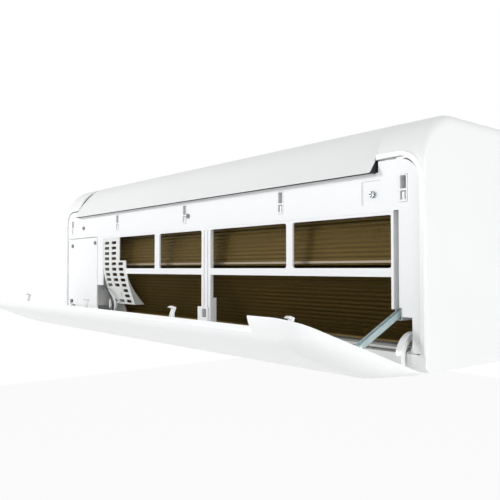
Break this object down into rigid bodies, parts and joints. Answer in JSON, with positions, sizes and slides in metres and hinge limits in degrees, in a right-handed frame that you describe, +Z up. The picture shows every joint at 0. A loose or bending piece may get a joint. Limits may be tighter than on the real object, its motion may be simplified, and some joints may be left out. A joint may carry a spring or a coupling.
{
  "type": "split air conditioner indoor unit",
  "caption": "Wall-mounted split air conditioner indoor unit with its front panel swung open on a stay, showing the lattice of windows over a finned coil.",
  "frame": {"origin": "centre of the wall plate's back face, on the wall", "axes": "+X to the right as seen from the room, +Y into the wall, +Z up"},
  "size_m": [1, 0.3908, 0.3088],
  "materials": {
    "shell_plastic": "moulded white ABS, satin",
    "panel_plastic": "moulded white ABS, glossy",
    "frame_plastic": "moulded white ABS, fine spark texture",
    "chassis_plastic": "moulded off-white polystyrene, matt",
    "fin_aluminium": "stamped fins with a gold anti-corrosion coat",
    "copper_tube": "drawn copper tube, slightly dulled",
    "zinc_steel": "zinc-coated sheet steel",
    "screw_zinc": "bright zinc plate",
    "black_rubber": "moulded nitrile rubber",
    "black_plastic": "dark glass-filled plastic, matt",
    "grey_plastic": "grey PVC, matt",
    "circuit_board": "green solder mask",
    "stay_plastic": "clear pale aqua moulding"
  },
  "bodies": {
    "housing": {"wall_plate": "zinc_steel", "rear_chassis": "chassis_plastic", "front_cabinet": "shell_plastic", "top_cover": "shell_plastic", "top_grille": "shell_plastic", "window_frame": "frame_plastic", "drain_pan": "chassis_plastic", "coil_lower": "fin_aluminium", "coil_upper": "fin_aluminium", "coil_rear": "fin_aluminium", "coil_end_right": "copper_tube", "coil_end_left": "copper_tube", "suction_pipe": "copper_tube", "liquid_pipe": "copper_tube", "fan_motor": "zinc_steel", "motor_bracket": "chassis_plastic", "fan_bearing": "black_rubber", "control_box": "chassis_plastic", "control_cover": "frame_plastic", "main_board": "circuit_board", "terminal_block": "black_plastic", "coil_guard": "frame_plastic", "sensor_clip": "grey_plastic", "sensor_lead": "grey_plastic", "filter_clip": "frame_plastic", "stay_channel": "frame_plastic", "panel_catch_1": "frame_plastic", "panel_catch_2": "frame_plastic", "panel_catch_3": "frame_plastic", "panel_catch_4": "frame_plastic", "panel_catch_5": "frame_plastic", "band_screw_1": "screw_zinc", "band_screw_2": "screw_zinc", "band_screw_3": "screw_zinc", "cover_screw_1": "screw_zinc", "cover_screw_2": "screw_zinc", "hinge_pin_right": "screw_zinc", "hinge_pin_left": "screw_zinc", "louver_motor": "black_plastic", "louver_bearing": "black_plastic"},
    "panel": {"front_panel": "panel_plastic", "panel_arm_right": "panel_plastic", "panel_arm_left": "panel_plastic"},
    "stay": {"stay_arm": "stay_plastic"},
    "fan": {"blower_wheel": "black_plastic"},
    "louver": {"louver": "panel_plastic"},
    "vane_1": {"vane_1": "black_plastic"},
    "vane_2": {"vane_2": "black_plastic"},
    "vane_3": {"vane_3": "black_plastic"},
    "vane_4": {"vane_4": "black_plastic"},
    "vane_5": {"vane_5": "black_plastic"},
    "vane_6": {"vane_6": "black_plastic"},
    "vane_7": {"vane_7": "black_plastic"},
    "vane_8": {"vane_8": "black_plastic"},
    "vane_link_1": {"vane_link_1": "black_plastic"},
    "vane_link_2": {"vane_link_2": "black_plastic"}
  },
  "joints": [
    {"name": "panel_hinge", "type": "hinge", "parent": "housing", "child": "panel", "pos_m": [0, -0.1645, -0.138], "axis": [1, 0, 0], "range_deg": [-70.5, 0]},
    {"name": "stay_pivot", "type": "hinge", "parent": "panel", "child": "stay", "pos_m": [0.458, -0.2502, -0.121], "axis": [1, 0, 0], "range_deg": [0, 127.4]},
    {"name": "fan_spin", "type": "hinge", "parent": "housing", "child": "fan", "pos_m": [0, -0.077, -0.034], "axis": [1, 0, 0], "continuous": true},
    {"name": "louver_tilt", "type": "hinge", "parent": "housing", "child": "louver", "pos_m": [0, -0.051, -0.142], "axis": [1, 0, 0], "range_deg": [0, 75]},
    {"name": "vane_1_swing", "type": "hinge", "parent": "housing", "child": "vane_1", "pos_m": [-0.25125, -0.092, -0.105], "axis": [0, 1, 0], "range_deg": [-25, 25]},
    {"name": "vane_2_swing", "type": "hinge", "parent": "housing", "child": "vane_2", "pos_m": [-0.15925, -0.092, -0.105], "axis": [0, 1, 0], "range_deg": [-25, 25]},
    {"name": "vane_3_swing", "type": "hinge", "parent": "housing", "child": "vane_3", "pos_m": [-0.06725, -0.092, -0.105], "axis": [0, 1, 0], "range_deg": [-25, 25]},
    {"name": "vane_4_swing", "type": "hinge", "parent": "housing", "child": "vane_4", "pos_m": [0.02475, -0.092, -0.105], "axis": [0, 1, 0], "range_deg": [-25, 25]},
    {"name": "vane_5_swing", "type": "hinge", "parent": "housing", "child": "vane_5", "pos_m": [0.11825, -0.092, -0.105], "axis": [0, 1, 0], "range_deg": [-25, 25]},
    {"name": "vane_6_swing", "type": "hinge", "parent": "housing", "child": "vane_6", "pos_m": [0.21025, -0.092, -0.105], "axis": [0, 1, 0], "range_deg": [-25, 25]},
    {"name": "vane_7_swing", "type": "hinge", "parent": "housing", "child": "vane_7", "pos_m": [0.30225, -0.092, -0.105], "axis": [0, 1, 0], "range_deg": [-25, 25]},
    {"name": "vane_8_swing", "type": "hinge", "parent": "housing", "child": "vane_8", "pos_m": [0.39425, -0.092, -0.105], "axis": [0, 1, 0], "range_deg": [-25, 25]},
    {"name": "vane_link_1_pin", "type": "hinge", "parent": "vane_1", "child": "vane_link_1", "pos_m": [-0.25125, -0.0835, -0.096], "axis": [0, 1, 0], "range_deg": [-26, 26]},
    {"name": "vane_link_2_pin", "type": "hinge", "parent": "vane_5", "child": "vane_link_2", "pos_m": [0.11825, -0.0835, -0.096], "axis": [0, 1, 0], "range_deg": [-26, 26]}
  ],
  "couplings": [
    {"joint": "stay_pivot", "follows": "panel_hinge", "ratio": -1.806},
    {"joint": "vane_2_swing", "follows": "vane_1_swing", "ratio": 1},
    {"joint": "vane_3_swing", "follows": "vane_1_swing", "ratio": 1},
    {"joint": "vane_4_swing", "follows": "vane_1_swing", "ratio": 1},
    {"joint": "vane_6_swing", "follows": "vane_5_swing", "ratio": 1},
    {"joint": "vane_7_swing", "follows": "vane_5_swing", "ratio": 1},
    {"joint": "vane_8_swing", "follows": "vane_5_swing", "ratio": 1},
    {"joint": "vane_link_1_pin", "follows": "vane_1_swing", "ratio": -1},
    {"joint": "vane_link_2_pin", "follows": "vane_5_swing", "ratio": -1}
  ]
}
